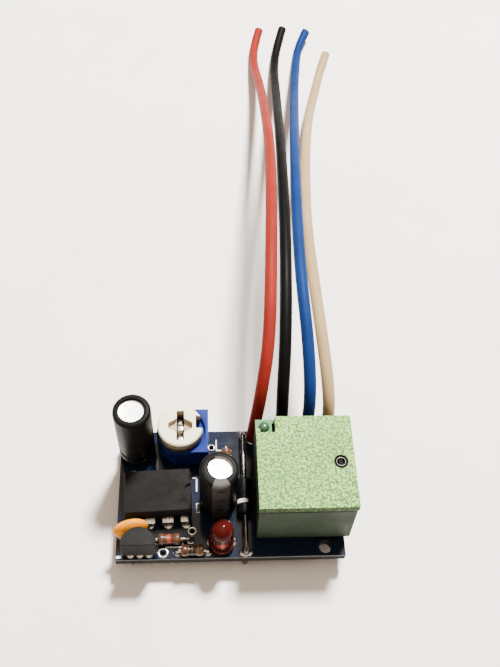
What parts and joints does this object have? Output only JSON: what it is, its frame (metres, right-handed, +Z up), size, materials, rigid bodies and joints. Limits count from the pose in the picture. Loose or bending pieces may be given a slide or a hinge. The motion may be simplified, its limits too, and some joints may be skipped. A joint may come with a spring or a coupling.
{
  "type": "time delay relay",
  "caption": "Small timer board on trimmed leads with a sealed relay, a screwdriver trimmer, an indicator lamp and free wires, for switching a load after a set delay.",
  "frame": {"origin": "below the middle of the board assembly, on the plane of the lead tips it stands on", "axes": "+Z up out of the board's component side, +Y back towards the wires, +X right towards the relay"},
  "size_m": [0.0404, 0.1195, 0.0229],
  "materials": {
    "board_laminate": "dark navy solder mask, satin",
    "bare_copper": "tinned copper tracks",
    "solder": "bright solder",
    "silk_white": "printed white ink",
    "black_epoxy": "moulded black epoxy",
    "tinned_lead": "tinned metal lead",
    "silicon": "polished silicon die",
    "orange_dip": "glossy dipped coating",
    "ceramic_disc": "fired ceramic",
    "can_aluminium": "drawn aluminium",
    "black_sleeve": "shrunk sleeve",
    "black_rubber": "moulded rubber bung",
    "wound_foil": "wound foil and paper",
    "tan_body": "lacquered resistor body",
    "red_lens": "clear red epoxy lens",
    "blue_base": "moulded blue nylon",
    "carbon": "printed carbon track",
    "cream_rotor": "moulded cream nylon",
    "green_cover": "grained light green moulding",
    "relay_base_plastic": "moulded black base",
    "relay_iron": "nickel plated soft iron",
    "bobbin_plastic": "moulded bobbin",
    "winding_copper": "enamelled copper winding",
    "contact_alloy": "silver contact alloy",
    "spring_bronze": "phosphor bronze",
    "red_insulation": "smooth soft insulation",
    "black_insulation": "smooth soft insulation",
    "blue_insulation": "smooth soft insulation",
    "white_insulation": "smooth soft insulation",
    "copper_strands": "bare stranded copper"
  },
  "bodies": {
    "root": {"circuit_board": "board_laminate", "copper_tracks": "bare_copper", "pad_rings": "solder", "solder_joints": "solder", "silkscreen_marks": "silk_white", "timer_chip_body": "black_epoxy", "timer_chip_leads": "tinned_lead", "timer_chip_die": "silicon", "transistor_body": "black_epoxy", "transistor_leads": "tinned_lead", "ceramic_capacitor_coating": "orange_dip", "ceramic_capacitor_disc": "ceramic_disc", "ceramic_capacitor_leads": "tinned_lead", "led_lens": "red_lens", "led_leads": "tinned_lead", "led_die": "silicon", "diode_body": "black_epoxy", "diode_leads": "tinned_lead", "trimmer_base": "blue_base", "trimmer_track": "carbon", "trimmer_pins": "tinned_lead", "relay_cover": "green_cover", "relay_base": "relay_base_plastic", "relay_yoke": "relay_iron", "relay_core": "relay_iron", "relay_bobbin": "bobbin_plastic", "relay_winding": "winding_copper", "relay_fixed_contacts": "contact_alloy", "relay_open_terminal": "tinned_lead", "relay_closed_terminal": "tinned_lead", "relay_common_terminal": "tinned_lead", "relay_coil_pins": "tinned_lead", "red_wire": "red_insulation", "black_wire": "black_insulation", "blue_wire": "blue_insulation", "white_wire": "white_insulation", "wire_bared_ends": "copper_strands", "wire_end_strands": "copper_strands", "timing_capacitor_can": "can_aluminium", "timing_capacitor_sleeve": "black_sleeve", "timing_capacitor_bung": "black_rubber", "timing_capacitor_element": "wound_foil", "timing_capacitor_leads": "tinned_lead", "supply_capacitor_can": "can_aluminium", "supply_capacitor_sleeve": "black_sleeve", "supply_capacitor_bung": "black_rubber", "supply_capacitor_element": "wound_foil", "supply_capacitor_leads": "tinned_lead", "feed_resistor_body": "tan_body", "feed_resistor_leads": "tinned_lead", "led_resistor_body": "tan_body", "led_resistor_leads": "tinned_lead", "base_resistor_body": "tan_body", "base_resistor_leads": "tinned_lead"},
    "rotor": {"trimmer_rotor": "cream_rotor", "trimmer_wiper": "tinned_lead"},
    "armature": {"relay_armature": "relay_iron", "relay_contact_leaf": "spring_bronze", "relay_moving_contact": "contact_alloy"}
  },
  "joints": [
    {"name": "trimmer_turn", "type": "hinge", "parent": "root", "child": "rotor", "pos_m": [-0.00726, 0.00694, 0.0076], "axis": [0, 0, 1], "range_deg": [-105, 105]},
    {"name": "armature_tilt", "type": "hinge", "parent": "root", "child": "armature", "pos_m": [0.00979, 0.0044, 0.0112], "axis": [1, 0, 0], "range_deg": [0, 3.5], "stiffness_Nm_per_rad": 0.01, "springref_deg": -5.73}
  ]
}
